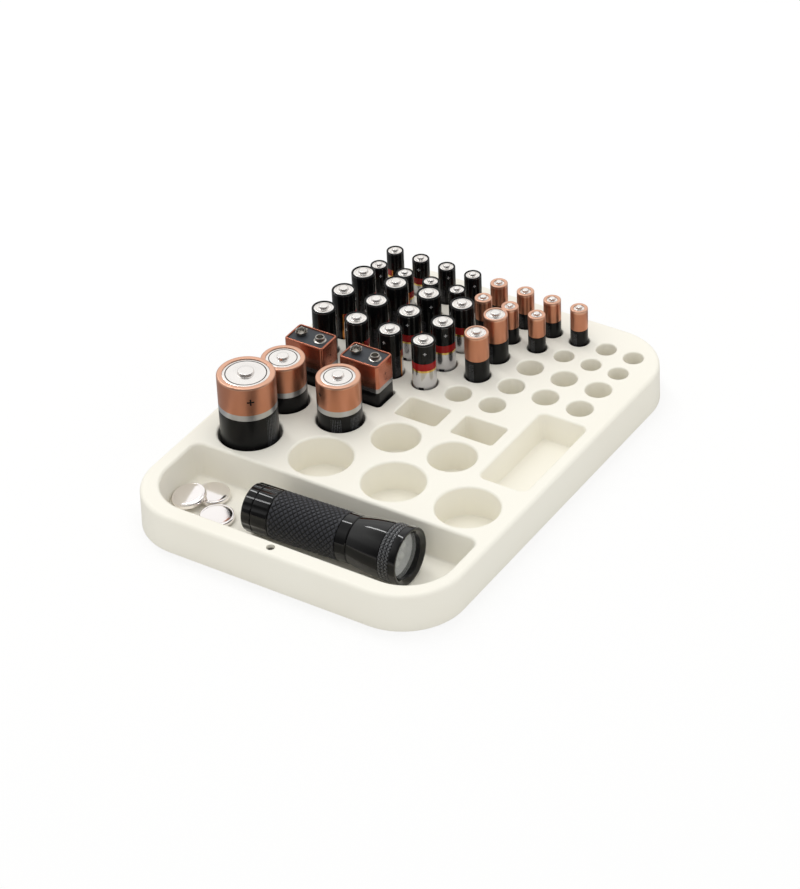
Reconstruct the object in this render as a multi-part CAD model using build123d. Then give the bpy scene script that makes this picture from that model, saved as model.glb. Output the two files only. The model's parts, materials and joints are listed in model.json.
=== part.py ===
from build123d import *
import os
from math import atan, atan2, cos, degrees, hypot, pi, radians, sin, tan

os.makedirs("parts", exist_ok=True)

# All sizes are in millimetres. The origin is on the surface that the tray stands on, under the middle
# of the tray. +X runs along the short side, +Y along the long side away from the trough, +Z is up.

# ---- tray ----
TRAY_WIDTH = 204.0
TRAY_LENGTH = 283.0
TRAY_HEIGHT = 23.5
TRAY_CORNER = 37.0
TRAY_DRAFT = 1.0  # degrees; the skirt flares towards its foot
TOP_EDGE_ROUND = 2.6
SKIRT_WALL = 2.4
DECK_THICKNESS = 2.4
CUP_WALL = 1.8
FLOOR_THICKNESS = 1.8
HOLE_DRAFT = 0.5  # degrees; every pocket narrows towards its floor
FLOOR_ROUND = 0.8

# ---- round pockets: bore at the mouth, depth, rim round ----
D_BORE = 36.6
D_DEPTH = 19.5
D_RIM = 1.5
C_BORE = 28.0
C_DEPTH = 19.5
C_RIM = 1.4
AA_BORE = 15.4
AA_DEPTH = 19.5
AA_RIM = 1.0
AAA_BORE = 11.9
AAA_DEPTH = 20.5
AAA_RIM = 0.9

# ---- layout: first column's X, pitch and count; rows' Y ----
D_FIRST_X = -71.1
D_PITCH = 48.0
D_COLUMNS = 4
D_ROW_Y = -51.3
C_FIRST_X = -70.9
C_PITCH = 37.3
C_COLUMNS = 4
C_ROW_Y = -15.3
NINE_VOLT_ROW_Y = 13.3
AA_FIRST_X = -78.2
AA_PITCH = 22.6
AA_COLUMNS = 8
AA_SHORT_ROW_COLUMNS = 6  # the front row stops at the tester recess
AA_BACK_Y = 80.7
AA_ROW_PITCH = 21.2
AA_ROWS = 3
AAA_FIRST_X = -80.1
AAA_PITCH = 18.0
AAA_COLUMNS = 10
AAA_BACK_Y = 118.2
AAA_ROW_PITCH = 17.8
AAA_ROWS = 2

# ---- rectangular pockets ----
NINE_VOLT_MOUTH_X = 27.6
NINE_VOLT_MOUTH_Y = 18.6
NINE_VOLT_CORNER = 2.2
NINE_VOLT_DEPTH = 19.5
NINE_VOLT_RIM = 1.1
TESTER_LEFT = 62.9
TESTER_RIGHT = 93.5
TESTER_FRONT = -24.3
TESTER_BACK = 45.7
TESTER_CORNER = 4.5
TESTER_DEPTH = 17.0
TESTER_DRAFT = 6.0
TESTER_RIM = 1.5

# ---- front trough ----
TROUGH_MIDDLE_X = 0.8
TROUGH_HALF_WIDTH = 93.0
TROUGH_FRONT = -129.7
TROUGH_BACK = -73.9
TROUGH_FRONT_CORNER = 28.0
TROUGH_BACK_CORNER = 6.0
TROUGH_DEPTH = 20.5
TROUGH_DRAFT = 7.5
TROUGH_RIM = 2.0
TROUGH_FLOOR_ROUND = 1.5

# ---- hanging hole through the front rim ----
HANGING_HOLE_X = -1.1
HANGING_HOLE_Y = -134.8
HANGING_HOLE_DIAMETER = 5.0

# ---- round cells: diameter, height over the contact, then the contact's disc, groove and nub ----
D_DIAMETER = 33.6
D_LENGTH = 61.3
D_DISC_RADIUS = 12.6
D_GROOVE_RADIUS = 11.2
D_NUB_RADIUS = 4.6
D_NUB_HEIGHT = 1.6
C_DIAMETER = 25.8
C_LENGTH = 49.9
C_DISC_RADIUS = 9.4
C_GROOVE_RADIUS = 7.9
C_NUB_RADIUS = 3.3
C_NUB_HEIGHT = 1.5
AA_DIAMETER = 14.2
AA_LENGTH = 50.3
AA_DISC_RADIUS = 5.7
AA_NUB_RADIUS = 2.7
AA_NUB_HEIGHT = 1.3
AAA_DIAMETER = 10.3
AAA_LENGTH = 44.3
AAA_BLACK_DISC_RADIUS = 4.1
AAA_COPPER_DISC_RADIUS = 3.1
AAA_NUB_RADIUS = 1.8
AAA_NUB_HEIGHT = 1.0
STANDING_GAP = 0.3  # air under every loose piece, so that none is pressed into the tray

# ---- nine-volt cells ----
NINE_VOLT_X = 26.0
NINE_VOLT_Y = 17.0
NINE_VOLT_CASE_HEIGHT = 45.8
NINE_VOLT_CASE_CORNER = 2.0
NINE_VOLT_FOOT_ROUND = 0.8
NINE_VOLT_TOP_ROUND = 0.6
NINE_VOLT_PLATE_INSET = 1.0
NINE_VOLT_PLATE_DEPTH = 0.8
TERMINAL_SPACING = 12.7
TERMINAL_HEIGHT = 2.7

# ---- coin cells ----
COIN_DIAMETER = 20.0
COIN_THICKNESS = 3.2
COIN_FLAT_FRONT = (-56.9, -106.8)
COIN_FLAT_BACK = (-70.8, -90.9)
COIN_LEANING = (-78.9, -101.5)
COIN_GAP = 0.12  # air between the leaning coin and what it leans on

# ---- torch, measured along its own axis from the tail ----
TORCH_LENGTH = 101.6
TORCH_TAIL_RADIUS = 14.1
TORCH_HEAD_RADIUS = 16.8
TORCH_GRIP_RADIUS = 14.0
TORCH_BARREL_RADIUS = 12.2
TORCH_BORE_RADIUS = 11.4
TORCH_COLLAR_RADIUS = 13.8
TORCH_CAP_END = 17.4
TORCH_CAP_GROOVE = 6.5
TORCH_GRIP_END = 60.9
TORCH_COLLAR_END = 68.1
TORCH_FLARE_END = 90.3
TORCH_BEZEL_START = 97.1
TORCH_BAND_RINGS = 3  # grip rings round the front of the head
TORCH_BAND_GROOVE = 0.5  # width and depth of the grooves between the rings
TORCH_SPIGOT = 7.0  # length of barrel that screws into the cap and into the head
TORCH_BARREL_START = 9.6
TORCH_FACE_X = 67.0
TORCH_FACE_Y = -101.2
TORCH_HEADING = 0.6  # degrees from +X towards +Y
CLEARANCE = 0.3  # between pieces that move against each other
CAP_FLUTES = 14
CAP_FLUTE_RADIUS = 5.0
CAP_FLUTE_DEPTH = 0.45
BUTTON_HOLE_RADIUS = 6.2
LENS_RADIUS = 14.2
LENS_THICKNESS = 1.6
LENS_OPENING_RADIUS = 13.2
REFLECTOR_RADIUS = 12.9
REFLECTOR_GAP = 0.6  # air between the reflector's rim and the lens
LED_RADIUS = 2.4
LED_RING_RADIUS = 7.9
LEDS_ON_RING = 8
CARRIER_LENGTH = 49.0
CARRIER_START = 14.6
CARRIER_CELL_RADIUS = 5.15
CARRIER_CELL_PITCH_RADIUS = 6.05


def floor_height(depth):
    """Height of the floor of a pocket of the given depth."""
    return TRAY_HEIGHT - depth


def standing_height(depth):
    """Height of the foot of a loose piece in a pocket of the given depth."""
    return floor_height(depth) + STANDING_GAP


def turned(points):
    """A solid turned about Z from its half outline, given as (radius, height) points."""
    outline = Polyline(*[(radius, 0, height) for radius, height in points], close=True)
    return revolve(make_face(outline), Axis.Z)


# ---------------------------------------------------------------- tray
def grid(first_x, pitch, columns, back_y, row_pitch, rows):
    """Centres of a block of pockets, row by row from the back, as (column, row, x, y)."""
    centres = []
    for row in range(rows):
        for column in range(columns):
            centres.append((column, row, first_x + pitch * column, back_y - row_pitch * row))
    return centres


D_CENTRES = grid(D_FIRST_X, D_PITCH, D_COLUMNS, D_ROW_Y, 0, 1)
C_CENTRES = grid(C_FIRST_X, C_PITCH, C_COLUMNS, C_ROW_Y, 0, 1)
NINE_VOLT_CENTRES = grid(C_FIRST_X, C_PITCH, C_COLUMNS, NINE_VOLT_ROW_Y, 0, 1)
AAA_CENTRES = grid(AAA_FIRST_X, AAA_PITCH, AAA_COLUMNS, AAA_BACK_Y, AAA_ROW_PITCH, AAA_ROWS)
AA_CENTRES = []
for column, row, x, y in grid(AA_FIRST_X, AA_PITCH, AA_COLUMNS, AA_BACK_Y, AA_ROW_PITCH, AA_ROWS):
    in_short_row = row == AA_ROWS - 1
    if not in_short_row or column < AA_SHORT_ROW_COLUMNS:
        AA_CENTRES.append((column, row, x, y))


def outer_block(inset, height):
    """The tray's outer form, drawn in by an inset, as a drafted block."""
    width = TRAY_WIDTH - 2 * inset
    length = TRAY_LENGTH - 2 * inset
    foot = RectangleRounded(width, length, TRAY_CORNER - inset)
    return extrude(foot, amount=height, taper=TRAY_DRAFT)


def round_pocket(bore, depth, grow=0.0, above=1.0):
    """The space of a round pocket, or with grow the outside of its cup."""
    slope = tan(radians(HOLE_DRAFT))
    bottom = floor_height(depth) - grow
    top = TRAY_HEIGHT + above
    bottom_radius = bore / 2 - slope * (TRAY_HEIGHT - bottom) + grow
    top_radius = bore / 2 + slope * above + grow
    cone = Cone(bottom_radius, top_radius, top - bottom, align=(Align.CENTER, Align.CENTER, Align.MIN))
    cone = Pos(0, 0, bottom) * cone
    if grow == 0.0:
        cone = fillet(cone.edges().sort_by(Axis.Z)[0], FLOOR_ROUND)
    return cone


def drafted_pocket(mouth, depth, draft, floor_round):
    """The space of a pocket with a drawn mouth, narrowing to its floor."""
    mouth_face = Pos(0, 0, TRAY_HEIGHT) * mouth
    space = extrude(mouth_face, amount=depth, dir=(0, 0, -1), taper=draft)
    floor = space.faces().sort_by(Axis.Z)[0]
    if floor_round:
        space = fillet(floor.edges(), floor_round)
    return space


def nine_volt_mouth(grow=0.0):
    """Mouth of a nine-volt pocket about its own centre."""
    width = NINE_VOLT_MOUTH_X + 2 * grow
    length = NINE_VOLT_MOUTH_Y + 2 * grow
    return RectangleRounded(width, length, NINE_VOLT_CORNER + grow)


def tester_mouth(grow=0.0):
    """Mouth of the recess that takes a cell tester."""
    width = TESTER_RIGHT - TESTER_LEFT + 2 * grow
    length = TESTER_BACK - TESTER_FRONT + 2 * grow
    centre_x = (TESTER_LEFT + TESTER_RIGHT) / 2
    centre_y = (TESTER_FRONT + TESTER_BACK) / 2
    return Pos(centre_x, centre_y) * RectangleRounded(width, length, TESTER_CORNER + grow)


def trough_mouth(grow=0.0):
    """Mouth of the front trough: wide corners at the front, tight ones at the back."""
    width = 2 * (TROUGH_HALF_WIDTH + grow)
    length = TROUGH_BACK - TROUGH_FRONT + 2 * grow
    centre_y = (TROUGH_FRONT + TROUGH_BACK) / 2
    mouth = Pos(TROUGH_MIDDLE_X, centre_y) * Rectangle(width, length)
    corners = mouth.vertices().sort_by(Axis.Y)
    mouth = fillet(corners[:2], TROUGH_FRONT_CORNER + grow)
    corners = mouth.vertices().sort_by(Axis.Y)
    return fillet(corners[-2:], TROUGH_BACK_CORNER + grow)


def pocket_spaces():
    """Every pocket, recess and trough as a solid of the space inside it."""
    spaces = []
    for centres, bore, depth in (
        (D_CENTRES, D_BORE, D_DEPTH),
        (C_CENTRES, C_BORE, C_DEPTH),
        (AA_CENTRES, AA_BORE, AA_DEPTH),
        (AAA_CENTRES, AAA_BORE, AAA_DEPTH),
    ):
        space = round_pocket(bore, depth)
        spaces += [Pos(x, y, 0) * space for column, row, x, y in centres]
    block = drafted_pocket(nine_volt_mouth(), NINE_VOLT_DEPTH, HOLE_DRAFT, FLOOR_ROUND)
    spaces += [Pos(x, y, 0) * block for column, row, x, y in NINE_VOLT_CENTRES]
    spaces.append(drafted_pocket(tester_mouth(), TESTER_DEPTH, TESTER_DRAFT, FLOOR_ROUND))
    spaces.append(drafted_pocket(trough_mouth(), TROUGH_DEPTH, TROUGH_DRAFT, TROUGH_FLOOR_ROUND))
    return spaces


def cup_walls():
    """The outsides of the cups that hang from the deck, still solid."""
    cups = []
    for centres, bore, depth in (
        (D_CENTRES, D_BORE, D_DEPTH),
        (C_CENTRES, C_BORE, C_DEPTH),
        (AA_CENTRES, AA_BORE, AA_DEPTH),
        (AAA_CENTRES, AAA_BORE, AAA_DEPTH),
    ):
        cup = round_pocket(bore, depth, grow=CUP_WALL, above=-DECK_THICKNESS / 2)
        cups += [Pos(x, y, 0) * cup for column, row, x, y in centres]
    sunk = Pos(0, 0, -DECK_THICKNESS / 2)
    rest = FLOOR_THICKNESS - DECK_THICKNESS / 2
    block = drafted_pocket(nine_volt_mouth(CUP_WALL), NINE_VOLT_DEPTH + rest, HOLE_DRAFT, 0)
    cups += [Pos(x, y, 0) * sunk * block for column, row, x, y in NINE_VOLT_CENTRES]
    cups.append(sunk * drafted_pocket(tester_mouth(CUP_WALL), TESTER_DEPTH + rest, TESTER_DRAFT, 0))
    cups.append(sunk * drafted_pocket(trough_mouth(CUP_WALL), TROUGH_DEPTH + rest, TROUGH_DRAFT, 0))
    return cups


def rim_edges(tray, centres):
    """Edges of the deck's openings that are centred on the given (x, y) points."""
    deck = tray.faces().filter_by(GeomType.PLANE).sort_by(Axis.Z)[-1]
    edges = []
    for wire in deck.inner_wires():
        middle = wire.bounding_box().center()
        for x, y in centres:
            if abs(middle.X - x) < 1 and abs(middle.Y - y) < 1:
                edges += wire.edges()
    return edges


def make_tray():
    """The one-piece moulding: skirt, deck and hanging cups."""
    shell = outer_block(0, TRAY_HEIGHT)
    top_face = shell.faces().sort_by(Axis.Z)[-1]
    shell = fillet(top_face.edges(), TOP_EDGE_ROUND)
    shell -= outer_block(SKIRT_WALL, TRAY_HEIGHT - DECK_THICKNESS)
    tray = shell + cup_walls()
    tray = tray - pocket_spaces()
    tester_centre = ((TESTER_LEFT + TESTER_RIGHT) / 2, (TESTER_FRONT + TESTER_BACK) / 2)
    trough_centre = (TROUGH_MIDDLE_X, (TROUGH_FRONT + TROUGH_BACK) / 2)
    for centres, rim in (
        (plan_points(AAA_CENTRES), AAA_RIM),
        (plan_points(AA_CENTRES), AA_RIM),
        (plan_points(NINE_VOLT_CENTRES), NINE_VOLT_RIM),
        (plan_points(C_CENTRES), C_RIM),
        (plan_points(D_CENTRES), D_RIM),
        ([tester_centre], TESTER_RIM),
        ([trough_centre], TROUGH_RIM),
    ):
        tray = fillet(rim_edges(tray, centres), rim)
    hole = Cylinder(HANGING_HOLE_DIAMETER / 2, 3 * DECK_THICKNESS)
    return tray - Pos(HANGING_HOLE_X, HANGING_HOLE_Y, TRAY_HEIGHT) * hole


def plan_points(centres):
    """The (x, y) points of a block of pocket centres."""
    return [(x, y) for column, row, x, y in centres]


# ---------------------------------------------------------------- cells
def wrapped_cell(diameter, length, disc, nub, nub_height):
    """A small round cell: label rolled over the shoulder, top disc, contact nub, in one solid."""
    radius = diameter / 2
    roll = radius * 0.1
    shoulder = length - nub_height
    disc_height = shoulder - 0.3
    groove = disc * 0.72
    points = [
        (0, 0.25),
        (radius * 0.62, 0.25),
        (radius * 0.66, 0),
        (radius - roll, 0),
        (radius, roll),
        (radius, shoulder - roll),
        (radius - roll * 0.3, shoulder - roll * 0.3),
        (radius - roll, shoulder),
        (disc + 0.15, shoulder),
        (disc, disc_height),
        (groove + 0.2, disc_height),
        (groove, disc_height - 0.15),
        (groove - 0.2, disc_height),
        (nub + 0.25, disc_height),
        (nub, disc_height + 0.25),
        (nub, length - 0.35),
        (nub - 0.35, length),
        (0, length),
    ]
    return turned(points)


def large_cell_body(diameter, length, disc, nub_height):
    """The can and label of a large round cell, with a seat for the contact disc."""
    radius = diameter / 2
    roll = 1.2
    shoulder = length - nub_height
    points = [
        (0, 0.5),
        (radius * 0.58, 0.5),
        (radius * 0.62, 0),
        (radius - roll, 0),
        (radius - roll * 0.3, roll * 0.3),
        (radius, roll),
        (radius, shoulder - roll),
        (radius - roll * 0.3, shoulder - roll * 0.3),
        (radius - roll, shoulder - 0.05),
        (disc + 0.3, shoulder),
        (disc, shoulder - 0.3),
        (disc, shoulder - 1.2),
        (0, shoulder - 1.2),
    ]
    return turned(points)


def contact_disc(length, disc, groove, nub, nub_height):
    """The stamped positive contact: a disc with a ring groove and a nub."""
    shoulder = length - nub_height
    top = shoulder - 0.4
    points = [
        (0, shoulder - 1.2),
        (disc, shoulder - 1.2),
        (disc, top - 0.2),
        (disc - 0.2, top),
        (groove + 0.6, top),
        (groove + 0.2, top - 0.35),
        (groove - 0.2, top - 0.35),
        (groove - 0.6, top),
        (nub + 0.6, top),
        (nub, top + 0.5),
        (nub - 0.2, length - 0.5),
        (nub - 0.7, length),
        (0, length),
    ]
    return turned(points)


def nine_volt_case():
    """The steel case and label, with a rolled rim round the top plate."""
    case = extrude(RectangleRounded(NINE_VOLT_X, NINE_VOLT_Y, NINE_VOLT_CASE_CORNER), NINE_VOLT_CASE_HEIGHT)
    case = fillet(case.faces().sort_by(Axis.Z)[-1].edges(), NINE_VOLT_TOP_ROUND)
    case = fillet(case.faces().sort_by(Axis.Z)[0].edges(), NINE_VOLT_FOOT_ROUND)
    inset = 2 * NINE_VOLT_PLATE_INSET
    seat = RectangleRounded(NINE_VOLT_X - inset, NINE_VOLT_Y - inset, NINE_VOLT_CASE_CORNER - 0.7)
    seat = extrude(seat, 3 * NINE_VOLT_PLATE_DEPTH)
    return case - Pos(0, 0, NINE_VOLT_CASE_HEIGHT - 3 * NINE_VOLT_PLATE_DEPTH) * seat


def nine_volt_plate():
    """The insulating plate that carries both terminals."""
    inset = 2 * NINE_VOLT_PLATE_INSET
    plate = RectangleRounded(NINE_VOLT_X - inset, NINE_VOLT_Y - inset, NINE_VOLT_CASE_CORNER - 0.7)
    plate = extrude(plate, 2 * NINE_VOLT_PLATE_DEPTH)
    return Pos(0, 0, NINE_VOLT_CASE_HEIGHT - 3 * NINE_VOLT_PLATE_DEPTH) * plate


def nine_volt_terminals():
    """The round snap stud and the six-sided snap socket, as two solids."""
    base = NINE_VOLT_CASE_HEIGHT - NINE_VOLT_PLATE_DEPTH
    stud_points = [
        (0, 0),
        (3.7, 0),
        (3.7, 0.35),
        (2.75, 0.5),
        (2.55, 1.2),
        (2.85, TERMINAL_HEIGHT - 0.4),
        (2.6, TERMINAL_HEIGHT),
        (1.9, TERMINAL_HEIGHT),
        (1.9, 0.8),
        (0, 0.8),
    ]
    stud = turned(stud_points)
    lower = RegularPolygon(3.0, 6)
    upper = Pos(0, 0, TERMINAL_HEIGHT) * RegularPolygon(4.0, 6)
    socket = loft([lower, upper])
    well_lower = Pos(0, 0, 0.8) * RegularPolygon(2.2, 6)
    well_upper = Pos(0, 0, TERMINAL_HEIGHT + 0.01) * RegularPolygon(3.3, 6)
    socket -= loft([well_lower, well_upper])
    half = TERMINAL_SPACING / 2
    return Compound([Pos(half, 0, base) * stud, Pos(-half, 0, base) * socket])


def make_coin():
    """A coin cell: rounded can above, crimp line, smaller lid below."""
    radius = COIN_DIAMETER / 2
    points = [
        (0, 0),
        (radius - 1.6, 0),
        (radius - 1.3, 0.35),
        (radius - 0.5, 0.35),
        (radius, 0.8),
        (radius, COIN_THICKNESS - 0.7),
        (radius - 0.2, COIN_THICKNESS - 0.2),
        (radius - 0.7, COIN_THICKNESS),
        (0, COIN_THICKNESS),
    ]
    return turned(points)


# ---------------------------------------------------------------- torch, built upright on its tail
def tail_cap():
    """The screw cap: grooved, fluted outside, bored for the barrel and the button."""
    radius = TORCH_TAIL_RADIUS
    bore = TORCH_BARREL_RADIUS + CLEARANCE
    groove = TORCH_CAP_GROOVE
    points = [
        (BUTTON_HOLE_RADIUS, 0),
        (radius - 1.6, 0),
        (radius - 0.4, 0.6),
        (radius, 1.6),
        (radius, groove - 0.5),
        (radius - 0.7, groove - 0.1),
        (radius - 0.7, groove + 0.3),
        (radius, groove + 0.7),
        (radius, TORCH_CAP_END - 1.6),
        (radius - 0.8, TORCH_CAP_END - 0.4),
        (radius - 0.8, TORCH_CAP_END),
        (bore, TORCH_CAP_END),
        (bore, 3.0),
        (BUTTON_HOLE_RADIUS, 3.0),
    ]
    cap = turned(points)
    distance = radius + CAP_FLUTE_RADIUS - CAP_FLUTE_DEPTH
    flute = Pos(distance, 0, 0) * Cylinder(CAP_FLUTE_RADIUS, 60)
    flutes = [Rot(0, 0, 360 * i / CAP_FLUTES) * flute for i in range(CAP_FLUTES)]
    return cap - flutes


def switch_module():
    """The push switch's housing inside the cap, with a bore for the button's foot."""
    points = [
        (4.0, 3.2),
        (11.6, 3.2),
        (11.6, 8.6),
        (4.0, 8.6),
    ]
    return turned(points)


def tail_button():
    """The rubber button: a dome in the cap's hole and a plunger into the switch."""
    radius = BUTTON_HOLE_RADIUS - CLEARANCE
    points = [
        (0, 0.2),
        (radius - 1.4, 0.5),
        (radius - 0.3, 1.0),
        (radius, 1.6),
        (radius, 1.9),
        (2.4, 1.9),
        (2.4, 5.6),
        (0, 5.6),
    ]
    return turned(points)


def contact_spring():
    """The coil that presses on the battery carrier."""
    wire = 0.35
    path = Helix(pitch=1.5, height=4.2, radius=3.4)
    section = Plane(origin=path @ 0, z_dir=path % 0) * Circle(wire)
    return Pos(0, 0, 9.2) * sweep(section, path=path)


def barrel():
    """The body tube, with a screw spigot at each end and the collar in front of the grip."""
    bore = TORCH_BORE_RADIUS
    tube = TORCH_BARREL_RADIUS
    collar = TORCH_COLLAR_RADIUS
    points = [
        (bore, TORCH_BARREL_START),
        (tube, TORCH_BARREL_START),
        (tube, TORCH_GRIP_END),
        (collar - 0.5, TORCH_GRIP_END),
        (collar, TORCH_GRIP_END + 0.5),
        (collar, TORCH_COLLAR_END - 0.5),
        (collar - 0.5, TORCH_COLLAR_END),
        (tube, TORCH_COLLAR_END),
        (tube, TORCH_COLLAR_END + TORCH_SPIGOT),
        (bore, TORCH_COLLAR_END + TORCH_SPIGOT),
    ]
    return turned(points)


def grip():
    """The rubber sleeve on the barrel, with softened ends."""
    start = TORCH_CAP_END + CLEARANCE
    end = TORCH_GRIP_END
    points = [
        (TORCH_BARREL_RADIUS, start),
        (TORCH_GRIP_RADIUS - 0.4, start),
        (TORCH_GRIP_RADIUS, start + 0.5),
        (TORCH_GRIP_RADIUS, end - 0.5),
        (TORCH_GRIP_RADIUS - 0.4, end),
        (TORCH_BARREL_RADIUS, end),
    ]
    return turned(points)


def head():
    """The flared head: narrow behind, with a row of rings in front and a seat for the lens."""
    waist = TORCH_COLLAR_RADIUS
    band = TORCH_HEAD_RADIUS - 0.3
    flare = TORCH_FLARE_END
    groove = TORCH_BAND_GROOVE
    start = TORCH_COLLAR_END + 0.4
    screw = TORCH_BARREL_RADIUS + 0.1
    outside = Polyline((screw, 0, start), (waist - 0.5, 0, start), (waist, 0, start + 0.5))
    sweep_out = Spline(
        (waist, 0, start + 0.5),
        (waist + 1.05, 0, start + 6.2),
        (band - 0.95, 0, flare - 10.3),
        (band - 0.35, 0, flare - 4),
        (band - 0.25, 0, flare - 0.2),
    )
    points = [(band - 0.25, 0, flare - 0.2)]
    ring_pitch = (TORCH_BEZEL_START - flare) / TORCH_BAND_RINGS
    for i in range(TORCH_BAND_RINGS):
        ring_start = flare + ring_pitch * i
        ring_end = ring_start + ring_pitch - groove
        points += [(band, 0, ring_start + groove / 2), (band, 0, ring_end)]
        points += [(band - groove, 0, ring_end + groove / 4), (band - groove, 0, ring_end + groove)]
    points += head_bore()
    return revolve(make_face(outside + sweep_out + Polyline(*points)), Axis.Z)


def head_bore():
    """The inside of the head from the front back to the barrel: lens seat, reflector bore, screw bore."""
    seat = TORCH_BEZEL_START - LENS_THICKNESS - 0.4
    step = TORCH_FLARE_END - 5.0
    spigot_end = TORCH_COLLAR_END + TORCH_SPIGOT + 0.4
    screw = TORCH_BARREL_RADIUS + 0.1
    waist_bore = TORCH_BARREL_RADIUS + 0.4
    return [
        (LENS_RADIUS + 0.1, 0, TORCH_BEZEL_START),
        (LENS_RADIUS + 0.1, 0, seat),
        (REFLECTOR_RADIUS + 0.2, 0, seat),
        (REFLECTOR_RADIUS + 0.2, 0, step),
        (waist_bore, 0, step),
        (waist_bore, 0, spigot_end),
        (screw, 0, spigot_end),
        (screw, 0, TORCH_COLLAR_END + 0.4),
    ]


def bezel():
    """The front ring that holds the lens."""
    radius = TORCH_HEAD_RADIUS
    points = [
        (LENS_OPENING_RADIUS, TORCH_BEZEL_START),
        (radius - 0.5, TORCH_BEZEL_START),
        (radius, TORCH_BEZEL_START + 0.4),
        (radius, TORCH_LENGTH - 0.9),
        (radius - 0.3, TORCH_LENGTH - 0.25),
        (radius - 0.9, TORCH_LENGTH),
        (radius - 1.5, TORCH_LENGTH),
        (LENS_OPENING_RADIUS, TORCH_LENGTH - 1.6),
    ]
    return turned(points)


def lens():
    """The clear front disc, seated in the head behind the bezel."""
    disc = Cylinder(LENS_RADIUS, LENS_THICKNESS, align=(Align.CENTER, Align.CENTER, Align.MIN))
    return Pos(0, 0, TORCH_BEZEL_START - LENS_THICKNESS) * disc


def reflector_rim():
    """Height of the reflector's rim, just behind the lens."""
    return TORCH_BEZEL_START - LENS_THICKNESS - REFLECTOR_GAP


def reflector():
    """The plated cup, with a well for each LED."""
    top = reflector_rim()
    points = [
        (0, top - 6.5),
        (REFLECTOR_RADIUS - 1.1, top - 6.5),
        (REFLECTOR_RADIUS, top),
        (REFLECTOR_RADIUS - 0.6, top),
        (REFLECTOR_RADIUS - 1.5, top - 3.6),
        (0, top - 3.6),
    ]
    cup = turned(points)
    for centre in led_centres():
        cup -= Pos(centre[0], centre[1], top - 5.0) * Cylinder(LED_RADIUS + 0.15, 8)
    return cup


def led_centres():
    """Centres of the LEDs: one in the middle and the rest on a ring."""
    centres = [(0.0, 0.0)]
    for i in range(LEDS_ON_RING):
        turn = 2 * pi * i / LEDS_ON_RING
        centres.append((LED_RING_RADIUS * cos(turn), LED_RING_RADIUS * sin(turn)))
    return centres


def leds():
    """The LEDs: short round bodies with domed fronts."""
    top = reflector_rim()
    points = [
        (0, top - 7.3),
        (LED_RADIUS, top - 7.3),
        (LED_RADIUS, top - 3.4),
        (LED_RADIUS * 0.92, top - 2.5),
        (LED_RADIUS * 0.7, top - 1.7),
        (LED_RADIUS * 0.38, top - 1.25),
        (0, top - 1.1),
    ]
    led = turned(points)
    return Compound([Pos(x, y, 0) * led for x, y in led_centres()])


def led_module():
    """The LED board and its holder, down to the battery contact."""
    top = reflector_rim() - 7.3
    points = [
        (0, CARRIER_START + CARRIER_LENGTH + 0.3),
        (10.8, CARRIER_START + CARRIER_LENGTH + 0.3),
        (10.8, top - 2.0),
        (11.9, top - 2.0),
        (11.9, top),
        (0, top),
    ]
    return turned(points)


def carrier_cells():
    """The three small cells that power the torch."""
    diameter = 2 * CARRIER_CELL_RADIUS
    cell = wrapped_cell(diameter, AAA_LENGTH, AAA_COPPER_DISC_RADIUS, AAA_NUB_RADIUS, AAA_NUB_HEIGHT)
    placed = []
    for i in range(3):
        turn = 2 * pi * i / 3
        x = CARRIER_CELL_PITCH_RADIUS * cos(turn)
        y = CARRIER_CELL_PITCH_RADIUS * sin(turn)
        placed.append(Pos(x, y, CARRIER_START + 2.2) * cell)
    return Compound(placed)


def battery_carrier():
    """Two contact plates and the spine between the cells."""
    plate = Cylinder(10.9, 1.9, align=(Align.CENTER, Align.CENTER, Align.MIN))
    front_plate = Pos(0, 0, CARRIER_LENGTH - 1.9) * plate
    spine = Cylinder(3.0, CARRIER_LENGTH - 1.0, align=(Align.CENTER, Align.CENTER, Align.MIN))
    carrier = Pos(0, 0, CARRIER_START) * (plate + front_plate + Pos(0, 0, 0.5) * spine)
    for i in range(3):
        turn = 2 * pi * i / 3
        x = CARRIER_CELL_PITCH_RADIUS * cos(turn)
        y = CARRIER_CELL_PITCH_RADIUS * sin(turn)
        channel = Cylinder(CARRIER_CELL_RADIUS + 0.1, AAA_LENGTH + 0.4)
        carrier -= Pos(x, y, CARRIER_START + CARRIER_LENGTH / 2) * channel
    return carrier


def torch_location():
    """Lying on the trough floor: the tail and the head both touch, so the axis rises to the head."""
    floor = standing_height(TROUGH_DEPTH)
    rise = TORCH_HEAD_RADIUS - TORCH_TAIL_RADIUS
    tilt = atan(rise / TORCH_LENGTH)
    heading = radians(TORCH_HEADING)
    along = Vector(cos(heading) * cos(tilt), sin(heading) * cos(tilt), sin(tilt))
    face = Vector(TORCH_FACE_X, TORCH_FACE_Y, floor + TORCH_HEAD_RADIUS)
    tail = face - along * TORCH_LENGTH
    return Plane(origin=tail, x_dir=(0, 0, 1), z_dir=along).location


# ---------------------------------------------------------------- coins at rest
def leaning_coin():
    """A coin with one edge on the floor and its underside on the rim of the back flat coin."""
    step_x = COIN_FLAT_BACK[0] - COIN_LEANING[0]
    step_y = COIN_FLAT_BACK[1] - COIN_LEANING[1]
    # the back coin's near rim is this far from the leaning coin's low edge
    support_reach = hypot(step_x, step_y)
    tilt = atan((COIN_THICKNESS + COIN_GAP) / support_reach)
    coin = Rot(0, -degrees(tilt), 0) * make_coin()
    coin = Rot(0, 0, degrees(atan2(step_y, step_x))) * coin
    height = standing_height(TROUGH_DEPTH) + COIN_DIAMETER / 2 * sin(tilt) + COIN_GAP
    return Pos(COIN_LEANING[0], COIN_LEANING[1], height) * coin


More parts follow.
